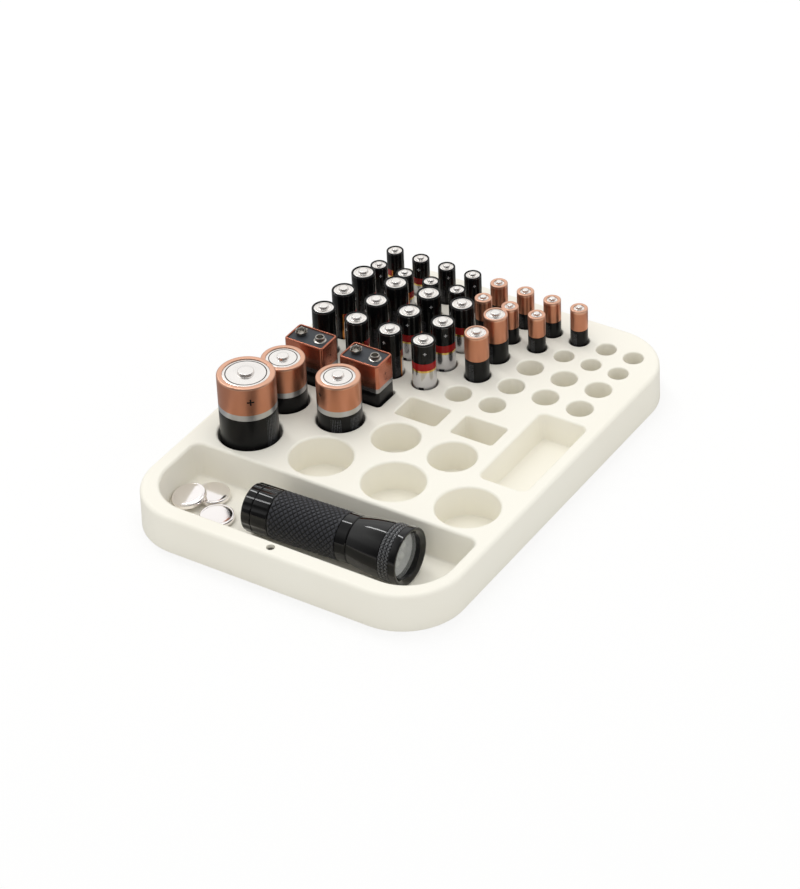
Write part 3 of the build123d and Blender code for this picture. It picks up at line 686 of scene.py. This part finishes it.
# How far each label's front is turned from the camera, in degrees; the rest show their backs.
FACINGS = {
    "d_cell_1": 8.0,
    "c_cell_1": 150.0,
    "c_cell_2": -55.0,
    "aa_black_row1_col1": 100.0,
    "aa_black_row1_col2": 102.0,
    "aa_black_row1_col4": -76.0,
    "aa_black_row2_col1": 74.0,
    "aa_black_row2_col2": 104.0,
    "aa_black_row2_col3": -12.0,
    "aa_black_row2_col4": 10.0,
    "aa_black_row3_col1": -104.0,
    "aa_black_row3_col2": 112.0,
    "aa_black_row3_col3": 140.0,
    "aa_black_row3_col4": 4.0,
    "aaa_black_row1_col1": -108.0,
    "aaa_black_row1_col2": -18.0,
    "aaa_black_row2_col2": 106.0,
}
BACK_TO_CAMERA = 180.0


def sleeve_profile(radius, shoulder, lip, roll):
    """The label's closed half section, rolled in over both ends."""
    foot = rounding(radius - roll, roll, roll, -90, 0, 6)
    top = rounding(radius - roll, shoulder - roll, roll, 0, 90, 8)
    lip_edge = rounding(lip + FILM / 2, shoulder - FILM / 2, FILM / 2, 90, 180, 3)
    under = [(lip, shoulder - FILM), (radius - roll, shoulder - FILM), (radius - FILM, shoulder - roll)]
    under += [(radius - FILM, roll), (radius - roll, FILM), (radius * 0.7, FILM)]
    return [(radius * 0.7, 0.0)] + foot + top + lip_edge + under


def contact_profile(radius, length, lip, groove, nub, nub_height):
    """The can's half section, from its foot to its nub, and the numbers of its seam's strips."""
    shoulder = length - nub_height
    disc = shoulder - FILM
    inner = radius - FILM - 0.02
    points = [(0.0, 0.35), (radius * 0.52, 0.35), (radius * 0.58, 0.08), (radius * 0.68, 0.08)]
    points += [(inner - 0.6, 0.4), (inner, 1.0), (inner, shoulder - 1.2), (inner - 0.8, disc - 0.12)]
    points += [(lip - 0.05, disc - 0.12), (lip - 0.25, disc)]
    half = 0.12 + 0.012 * radius
    seam = [len(points) + strip for strip in range(3)]
    points += [(groove + half, disc), (groove + half - 0.06, disc - 0.4)]
    points += [(groove - half + 0.06, disc - 0.4), (groove - half, disc)]
    foot = nub + 0.45
    points += rounding(foot, disc + 0.4, 0.4, -90, -180, 4)
    points += rounding(nub - 0.45, length - 0.45, 0.45, 0, 90, 5)
    points += [(nub * 0.45, length), (0.0, length - 0.06)]
    return points, seam


def stand_cell(kind, body, nodes, label, steel_finish, meshes):
    """A cell made of a label sleeve and a steel can, in place of its CAD nodes."""
    low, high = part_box(nodes[0])
    radius = (high.x - low.x) / 2 / MM
    top = max(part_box(node)[1].z for node in nodes)
    length = (top - low.z) / MM
    sizes = CONTACTS[kind]
    if kind not in meshes:
        shoulder = length - sizes["nub_height"]
        sleeve = sleeve_profile(radius, shoulder, sizes["lip"], sizes["roll"])
        can, seam = contact_profile(
            radius, length, sizes["lip"], sizes["groove"], sizes["nub"], sizes["nub_height"]
        )
        count = 96 if radius > 10 else 64
        # The seam looks dark only on the two big sizes.
        dark = seam if radius > 10 else ()
        meshes[kind] = (
            lathe(kind + "_label", sleeve, label, count, closed=True),
            lathe(kind + "_can", can, (steel_finish, SEAM_STEEL), count, second=dark),
        )
    place = standing_place(nodes[0], FACINGS.get(body, BACK_TO_CAMERA))
    add_piece(body + "_label", meshes[kind][0], body, nodes[:1], place)
    add_piece(body + "_can", meshes[kind][1], body, nodes, place)


def make_round_cells(finishes):
    meshes = {}
    copper = {
        "d_cell": label_copper("d_label", 0.0336, 0.0613, 0.0416, 0.0037, 0.5, 0.0021),
        "c_cell": label_copper("c_label", 0.0258, 0.0499, 0.0322, 0.0035, 0.5, 0.0014),
        "aa_copper": label_copper("aa_copper_label", 0.0142, 0.0503, 0.0326),
        "aaa_copper": label_copper("aaa_copper_label", 0.0103, 0.0443, 0.0299),
    }
    black = {
        "aa_black": label_black("aa_black_label", "aa_black", 0.0142, 0.0503),
        "aaa_black": label_black("aaa_black_label", "aaa_black", 0.0103, 0.0443),
    }
    labels = {**copper, **black}
    for body in frame["bodies"]:
        kind = next((k for k in labels if body.startswith(k + "_")), None)
        if kind is None:
            continue
        nodes = [body] if body in frame["nodes"] else [body + "_body", body + "_contact"]
        stand_cell(kind, body, nodes, labels[kind], finishes["contact_steel"], meshes)


# ---------------------------------------------------------------- nine-volt cells
NINE_VOLT_CORNER = 2.0
NINE_VOLT_SPLIT = 30.4  # the copper ends this high above the foot
NINE_VOLT_BAND = 2.8
PLATE_SINK = 0.8
TERMINAL_SPACING = 12.7


def oblong(half_x, half_y, corner, inset, height, per_corner=7):
    """A rounded rectangle's points, drawn in by an inset; millimetres in, metres out."""
    points = []
    radius = max(corner - inset, 0.15)
    for quarter in range(4):
        sign_x = 1 if quarter in (0, 3) else -1
        sign_y = 1 if quarter in (0, 1) else -1
        middle_x = sign_x * (half_x - inset - radius)
        middle_y = sign_y * (half_y - inset - radius)
        for i in range(per_corner):
            turn = math.radians(90 * quarter + 90 * i / (per_corner - 1))
            x = middle_x + radius * math.cos(turn)
            y = middle_y + radius * math.sin(turn)
            points.append(Vector((x, y, height)) * MM)
    return points


def oblong_mesh(name, half_x, half_y, corner, profile, material):
    """A closed block from (inset, height) points, capped at both ends by a point in the middle."""
    rings = [[Vector((0, 0, profile[0][1])) * MM]]
    rings += [oblong(half_x, half_y, corner, inset, height) for inset, height in profile]
    rings += [[Vector((0, 0, profile[-1][1])) * MM]]
    heights = [profile[0][1] * MM] + [height * MM for inset, height in profile] + [profile[-1][1] * MM]
    return skin(name, rings, [0] * len(rings), [material], heights, 40.0)


def nine_volt_label(half_x):
    shader = Shader("nine_volt_label")
    spot = shader.node("ShaderNodeSeparateXYZ")
    shader.link(shader.place(), spot.inputs[0])
    across, height = spot.outputs[1], spot.outputs[2]
    above = shader.math("GREATER_THAN", height, NINE_VOLT_SPLIT * MM)
    silver = shader.inside(height, (NINE_VOLT_SPLIT - NINE_VOLT_BAND) * MM, NINE_VOLT_SPLIT * MM)
    cloud = shader.noise(30.0, 1.0)
    copper = shader.mix(shader.ramp(cloud, 0.0, 1.0), rgb(190, 118, 94), rgb(196, 124, 100))
    colour = shader.mix(above, rgb(12, 12, 13), copper)
    colour = shader.mix(silver, colour, rgb(160, 160, 163))
    face = shader.math("GREATER_THAN", spot.outputs[0], half_x * MM - 0.0004)
    dots = shader.either(
        shader.both(
            shader.inside(across, -0.0009, 0.0009),
            shader.inside(height, 0.0369, 0.0373),
        ),
        shader.both(
            shader.inside(across, -0.0009, 0.0009),
            shader.inside(height, 0.0329, 0.0333),
        ),
    )
    upright = shader.both(shader.inside(across, -0.0002, 0.0002), shader.inside(height, 0.0362, 0.0380))
    marks = shader.both(face, shader.either(dots, upright))
    colour = shader.mix(marks, colour, rgb(20, 14, 12))
    shiny = shader.both(shader.either(above, silver), shader.math("SUBTRACT", 1.0, marks))
    shader.set(
        base_color=colour,
        metallic=shader.math("MULTIPLY", shiny, 0.88),
        roughness=shader.ramp(cloud, 0.20, 0.28),
        specular=0.16,
        coat=0.08,
        coat_roughness=0.06,
    )
    return shader.material


def crown_mesh(material):
    """The snap socket: a cup that flares into six rolled petals."""
    profile = [(0.0, 0.0), (3.0, 0.0), (3.05, 0.5), (3.3, 1.3), (3.65, 2.0), (3.95, 2.45)]
    profile += [(3.85, 2.7), (3.55, 2.6), (3.2, 2.1), (2.8, 1.4), (2.5, 0.8), (0.0, 0.8)]
    count = 72
    rings = []
    for radius, height in profile:
        if radius == 0:
            rings.append([Vector((0, 0, height * MM))])
            continue
        petal = 0.03 + 0.05 * height / 2.7
        ring = []
        for j in range(count):
            turn = 2 * math.pi * j / count
            reach = radius * (1 - petal + petal * math.cos(6 * turn)) * MM
            ring.append(Vector((reach * math.cos(turn), reach * math.sin(turn), height * MM)))
        rings.append(ring)
    return skin("crown", rings, [0] * len(rings), [material], [h * MM for r, h in profile], 50.0)


def make_nine_volts(finishes):
    low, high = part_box("nine_volt_1_case")
    half_x, half_y = (high.x - low.x) / 2 / MM, (high.y - low.y) / 2 / MM
    top = (high.z - low.z) / MM
    label = nine_volt_label(half_x)
    case = [(0.8, 0.0), (0.25, 0.2), (0.0, 0.8), (0.0, top - 0.9)]
    for turn in (20, 40, 60, 80):
        turn = math.radians(turn)
        case.append((0.9 - 0.9 * math.cos(turn), top - 0.9 + 0.9 * math.sin(turn)))
    case += [(0.95, top - 0.02), (1.15, top - 0.12), (1.28, top - 0.35), (1.3, top - PLATE_SINK - 1.0)]
    plate = [(1.32, top - PLATE_SINK - 1.2), (1.32, top - PLATE_SINK - 0.1), (1.42, top - PLATE_SINK)]
    stud = [(0.0, 0.0), (3.6, 0.0), (3.7, 0.12), (3.7, 0.3), (3.5, 0.4), (3.0, 0.45)]
    stud += [(2.72, 0.62), (2.6, 1.1), (2.72, 1.7), (2.85, 2.15), (2.8, 2.5), (2.55, 2.7)]
    stud += [(2.2, 2.68), (2.0, 2.45), (1.95, 0.9), (0.0, 0.9)]
    meshes = (
        oblong_mesh("nine_volt_case", half_x, half_y, NINE_VOLT_CORNER, case, label),
        oblong_mesh("nine_volt_plate", half_x, half_y, NINE_VOLT_CORNER, plate, finishes["plate_plastic"]),
        lathe("stud", stud, SNAP_STEEL, 48),
        crown_mesh(SNAP_STEEL),
    )
    for number in (1, 2):
        body = f"nine_volt_{number}"
        low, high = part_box(body + "_case")
        foot = Vector(((low.x + high.x) / 2, (low.y + high.y) / 2, low.z))
        place = Matrix.Translation(foot)
        add_piece(body + "_jacket", meshes[0], body, [body + "_case"], place)
        add_piece(body + "_top", meshes[1], body, [body + "_plate"], place)
        base = Vector((TERMINAL_SPACING / 2, 0, top - PLATE_SINK)) * MM
        stud_at = Matrix.Translation(foot + base)
        base.x = -base.x
        crown_at = Matrix.Translation(foot + base)
        add_piece(body + "_stud", meshes[2], body, [body + "_terminals"], stud_at)
        add_piece(body + "_crown", meshes[3], body, [body + "_terminals"], crown_at)


# ---------------------------------------------------------------- coin cells
def coin_mesh(radius, thickness, material):
    profile = [(0.0, 0.0), (radius - 2.2, 0.0)]
    profile += [(radius - 1.7, 0.12), (radius - 1.45, 0.4), (radius - 1.2, 0.5), (radius - 0.6, 0.5)]
    profile += rounding(radius - 0.5, 1.0, 0.5, -70, 0, 4)
    profile += rounding(radius - 0.75, thickness - 0.75, 0.75, 0, 75, 6)
    profile += [(radius - 0.85, thickness - 0.03), (radius - 1.3, thickness - 0.08)]
    profile += [(radius - 1.6, thickness), (radius - 3.0, thickness), (0.0, thickness)]
    return lathe("coin", profile, material, 96, 20.0)


def make_coins(finishes):
    low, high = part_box("coin_front")
    radius, thickness = (high.x - low.x) / 2 / MM, (high.z - low.z) / MM
    mesh = coin_mesh(radius, thickness, finishes["coin_steel"])
    for name in ("coin_front", "coin_back"):
        low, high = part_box(name)
        centre = Vector(((low.x + high.x) / 2, (low.y + high.y) / 2, low.z))
        add_piece(name + "_can", mesh, name, [name], Matrix.Translation(centre))
    low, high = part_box("coin_leaning")
    # the tilt follows from the box: its height is 2 r sin(tilt) + t cos(tilt)
    rise = (high.z - low.z) / MM
    tilt = math.asin(rise / math.hypot(2 * radius, thickness)) - math.atan(thickness / (2 * radius))
    back_low, back_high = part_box("coin_back")
    lean_x = (low.x + high.x) / 2
    lean_y = (low.y + high.y) / 2
    heading = math.atan2((back_low.y + back_high.y) / 2 - lean_y, (back_low.x + back_high.x) / 2 - lean_x)
    turn = Matrix.Rotation(heading, 4, "Z") @ Matrix.Rotation(-tilt, 4, "Y")
    middle = Vector((lean_x, lean_y, (low.z + high.z) / 2))
    place = Matrix.Translation(middle) @ turn @ Matrix.Translation(Vector((0, 0, -thickness / 2 * MM)))
    add_piece("coin_leaning_can", mesh, "coin_leaning", ["coin_leaning"], place)


# ---------------------------------------------------------------- torch
# Millimetres: lengths are measured from its tail along its axis.
TORCH_LENGTH = 101.6
TAIL_RADIUS = 14.1
HEAD_RADIUS = 16.8
GRIP_RADIUS = 14.0
BARREL_RADIUS = 12.2
COLLAR_RADIUS = 13.8
CAP_END = 17.4
CAP_GROOVE = 6.5
CAP_BORE = 12.5
BUTTON_HOLE = 6.2
FLUTES = 14
FLUTE_RADIUS = 5.0
FLUTE_DEPTH = 0.45
GRIP_START = 17.7
GRIP_END = 60.9
KNURLS_ROUND = 24
KNURL_LEAD = 3.4
KNURL_DEPTH = 0.55
HEAD_START = 68.5
SPIGOT_END = 75.5
FLARE_END = 90.3
BEZEL_START = 97.1
BAND_RINGS = 3
FINE_KNURLS = 46
FINE_LEAD = 2.1
FINE_DEPTH = 0.26
LENS_RADIUS = 14.2
LENS_THICKNESS = 1.6
LENS_OPENING = 13.2


def torch_place():
    """The torch's own axes in the frame, from the joint that its cap turns on."""
    joint = next(j for j in frame["joints"] if j["name"] == "torch_cap_unscrew")
    along = Vector(joint["axis"]).normalized()
    up = Vector((0, 0, 1))
    up = (up - along * up.dot(along)).normalized()
    place = Matrix((up, along.cross(up), along)).transposed().to_4x4()
    place.translation = Vector(joint["pos_m"])
    return place


def swept_round(name, profile, count, material, change, smooth_angle=40.0):
    """Like a closed lathe, with change(radius, height, turn) giving the radius at each point."""
    rings = []
    for radius, height in profile:
        ring = []
        for j in range(count):
            turn = 2 * math.pi * j / count
            reach = change(radius, height, turn) * MM
            ring.append(Vector((reach * math.cos(turn), reach * math.sin(turn), height * MM)))
        rings.append(ring)
    heights = [height * MM for radius, height in profile]
    return skin(name, rings, [0] * len(rings), [material], heights, smooth_angle, closed=True)


def fluted(radius, height, turn):
    """The cap's outside, hollowed by round flutes."""
    pitch = 2 * math.pi / FLUTES
    off = (turn + pitch / 2) % pitch - pitch / 2
    distance = TAIL_RADIUS + FLUTE_RADIUS - FLUTE_DEPTH
    reach = FLUTE_RADIUS ** 2 - (distance * math.sin(off)) ** 2
    if reach <= 0:
        return radius
    return min(radius, distance * math.cos(off) - math.sqrt(reach))


def diamonds(turn, height, count, lead):
    """1 on the raised diamonds of a knurl and 0 in the crossing grooves."""
    around = count * turn / (2 * math.pi)
    first = (around + height / lead) % 1.0
    second = (around - height / lead) % 1.0
    near = min(first, 1 - first, second, 1 - second)
    share = min(max((near - 0.06) / 0.16, 0.0), 1.0)
    return share * share * (3 - 2 * share)


def knurled_grip(radius, height, turn):
    if radius < GRIP_RADIUS - 0.05:
        return radius
    fade = min(1.0, (height - GRIP_START - 0.8) / 1.0, (GRIP_END - 0.8 - height) / 1.0)
    return radius - KNURL_DEPTH * max(fade, 0.0) * (1 - diamonds(turn, height, KNURLS_ROUND, KNURL_LEAD))


def knurled_rings(radius, height, turn):
    if radius < HEAD_RADIUS - 0.35:
        return radius
    return radius - FINE_DEPTH * (1 - diamonds(turn, height, FINE_KNURLS, FINE_LEAD))


def cap_mesh(material):
    radius = TAIL_RADIUS
    outside = [(BUTTON_HOLE, 0.0), (BUTTON_HOLE + 0.3, 0.0)]
    outside += rounding(radius - 1.5, 1.5, 1.5, -85, 0, 7)
    outside += [(radius, CAP_GROOVE - 0.7)] + rounding(radius - 0.3, CAP_GROOVE - 0.6, 0.3, 0, 80, 3)
    outside += [(radius - 0.7, CAP_GROOVE - 0.25), (radius - 0.7, CAP_GROOVE + 0.25)]
    outside += rounding(radius - 0.3, CAP_GROOVE + 0.6, 0.3, -80, 0, 3) + [(radius, CAP_GROOVE + 0.9)]
    outside += rounding(radius - 0.9, CAP_END - 1.2, 0.9, 0, 80, 5)
    outside += [(radius - 0.9, CAP_END), (CAP_BORE, CAP_END), (CAP_BORE, 3.0), (BUTTON_HOLE, 3.0)]
    return swept_round("torch_cap_shell", outside, FLUTES * 16, material, fluted, 30.0)


def grip_mesh(material):
    step = 0.26
    count = int((GRIP_END - GRIP_START - 1.2) / step)
    side = [(GRIP_RADIUS, GRIP_START + 0.6 + step * i) for i in range(count + 1)]
    profile = [(BARREL_RADIUS + 0.02, GRIP_START), (GRIP_RADIUS - 0.4, GRIP_START)]
    profile += [(GRIP_RADIUS - 0.1, GRIP_START + 0.2)] + side + [(GRIP_RADIUS - 0.1, GRIP_END - 0.2)]
    profile += [(GRIP_RADIUS - 0.4, GRIP_END), (BARREL_RADIUS + 0.02, GRIP_END)]
    return swept_round("torch_grip_sleeve", profile, KNURLS_ROUND * 12, material, knurled_grip)


def head_mesh(material):
    """The flare: steep behind and nearly straight towards the rings."""
    waist = COLLAR_RADIUS
    wide = HEAD_RADIUS - 0.55
    profile = [(BARREL_RADIUS + 0.1, HEAD_START), (waist - 0.5, HEAD_START)]
    profile += rounding(waist - 0.4, HEAD_START + 0.4, 0.4, -80, 0, 4)
    start = HEAD_START + 0.5
    end = FLARE_END - 0.3
    steps = 24
    for i in range(1, steps + 1):
        share = i / steps
        flare = 1 - (1 - share) ** 1.8
        profile.append((waist + (wide - waist) * flare, start + (end - start) * share))
    profile += [(wide - 0.3, FLARE_END - 0.1), (wide - 0.3, FLARE_END + 0.4)]
    profile += [(LENS_OPENING + 0.2, FLARE_END + 0.4), (LENS_OPENING + 0.2, FLARE_END - 5.0)]
    profile += [(BARREL_RADIUS + 0.4, FLARE_END - 5.0), (BARREL_RADIUS + 0.4, SPIGOT_END)]
    profile += [(BARREL_RADIUS + 0.1, SPIGOT_END)]
    return lathe("torch_head_flare", profile, material, 128, 30.0, closed=True)


def band_mesh(material):
    """The knurled rings round the front of the head, and the seat inside them."""
    band = HEAD_RADIUS - 0.3
    pitch = (BEZEL_START - FLARE_END) / BAND_RINGS
    profile = [(LENS_OPENING + 0.2, FLARE_END + 0.05), (band - 0.7, FLARE_END + 0.05)]
    for i in range(BAND_RINGS):
        start = FLARE_END + pitch * i + 0.15
        end = FLARE_END + pitch * (i + 1) - 0.35
        profile.append((band - 0.35, start))
        rows = 12
        profile += [(band, start + 0.15 + (end - start - 0.3) * k / rows) for k in range(rows + 1)]
        profile += [(band - 0.35, end), (band - 0.8, end + 0.1), (band - 0.8, end + 0.3)]
    profile += [(LENS_RADIUS + 0.1, BEZEL_START - 0.05), (LENS_RADIUS + 0.1, BEZEL_START - 2.0)]
    profile += [(LENS_OPENING + 0.2, BEZEL_START - 2.0)]
    return swept_round("torch_head_rings", profile, FINE_KNURLS * 8, material, knurled_rings)


def bezel_mesh(material):
    radius = HEAD_RADIUS
    profile = [(LENS_OPENING, BEZEL_START), (radius - 0.7, BEZEL_START)]
    profile += rounding(radius - 0.5, BEZEL_START + 0.5, 0.5, -80, 0, 5)
    profile += rounding(radius - 0.7, TORCH_LENGTH - 0.7, 0.7, 0, 90, 7)
    profile += [(radius - 1.3, TORCH_LENGTH)]
    profile += [(radius - 1.7, TORCH_LENGTH - 0.15), (LENS_OPENING + 0.5, TORCH_LENGTH - 1.2)]
    profile += [(LENS_OPENING, TORCH_LENGTH - 1.7)]
    return lathe("torch_bezel_ring", profile, material, 128, 30.0, closed=True)


def lens_mesh(material):
    front = BEZEL_START
    back = BEZEL_START - LENS_THICKNESS
    profile = [(0.0, back), (LENS_RADIUS - 0.2, back), (LENS_RADIUS, back + 0.2)]
    profile += [(LENS_RADIUS, front - 0.2), (LENS_RADIUS - 0.2, front), (0.0, front)]
    return lathe("torch_lens_disc", profile, material, 96, 20.0)


def make_torch(finishes):
    place = torch_place()
    metal = finishes["torch_metal"]
    for name, mesh, body, slot, replaced in (
        ("torch_cap_shell", cap_mesh(metal), "torch_cap", "torch_metal", ["torch_tail_cap"]),
        ("torch_grip_sleeve", grip_mesh(finishes["torch_rubber"]), "torch", "torch_rubber", ["torch_grip"]),
        ("torch_head_flare", head_mesh(metal), "torch", "torch_metal", ["torch_head"]),
        ("torch_head_rings", band_mesh(RING_KNURL), "torch", "torch_metal", ["torch_head"]),
        ("torch_bezel_ring", bezel_mesh(metal), "torch", "torch_metal", ["torch_bezel"]),
        ("torch_lens_disc", lens_mesh(finishes["torch_glass"]), "torch", "torch_glass", ["torch_lens"]),
    ):
        add_piece(name, mesh, body, replaced, place)


# ---------------------------------------------------------------- run
bpy.context.scene.view_settings.view_transform = "Standard"
make_camera()
make_world()
make_floor()
add_softbox("key", (0.0, 0.15, 1.0), 2.6, (1.8, 1.6), 11.5)
add_softbox("strip", (-0.448, 0.20, 0.87), 2.0, (0.12, 1.2), 5.0)

FINISHES = {
    "tray_plastic": tray_plastic(),
    "label_black": plastic("label_black_plain", rgb(14, 14, 15), 0.2, 0.3, 0.02, 300.0, 0.1, 0.2),
    "label_copper": steel("label_copper_plain", rgb(208, 146, 112), 0.22, 0.28),
    "contact_steel": steel("contact_steel", rgb(247, 243, 240), 0.20, 0.26),
    "coin_steel": steel("coin_steel", rgb(252, 247, 246), 0.09, 0.12),
    "plate_plastic": plastic("plate_plastic", rgb(58, 62, 68), 0.42, 0.56),
    "torch_metal": plastic("torch_metal", rgb(8, 8, 9), 0.06, 0.10, 0.01, 500.0, 0.25, 0.35),
    # The grip's lighter ridges are a painted highlight and its near-black grooves are painted shade.
    "torch_rubber": knurled(
        "torch_rubber", rgb(47, 48, 54), rgb(11, 11, 13), KNURLS_ROUND, KNURL_LEAD, 0.42, 0.54, 0.5
    ),
    "torch_glass": lens_glass("torch_glass", rgb(226, 230, 230)),
    "torch_plated": plastic("torch_plated", rgb(222, 223, 224), 0.12, 0.20, 0.0, 300.0, 0.3, 0.8),
    "led_resin": clear("led_resin", rgb(246, 247, 245), 0.05, 1.49, 0.25),
    "torch_plastic": plastic("torch_plastic", rgb(38, 38, 40), 0.40, 0.55),
}
# The head rings' grey ridges are painted glints and their near-black grooves are painted shade.
RING_KNURL = knurled("ring_knurl", rgb(84, 85, 88), rgb(4, 4, 5), FINE_KNURLS, FINE_LEAD, 0.12, 0.18, 0.8)
SEAM_STEEL = steel("seam_steel", rgb(104, 98, 94), 0.40, 0.50)
SNAP_STEEL = steel("snap_steel", rgb(178, 174, 168), 0.12, 0.18)
slot_of = {part["node"]: part["material_slot"] for part in frame["record"]["subparts"]}
for node, thing in frame["nodes"].items():
    thing.data.materials.clear()
    thing.data.materials.append(FINISHES[slot_of[node]])

make_round_cells(FINISHES)
make_nine_volts(FINISHES)
make_coins(FINISHES)
make_torch(FINISHES)
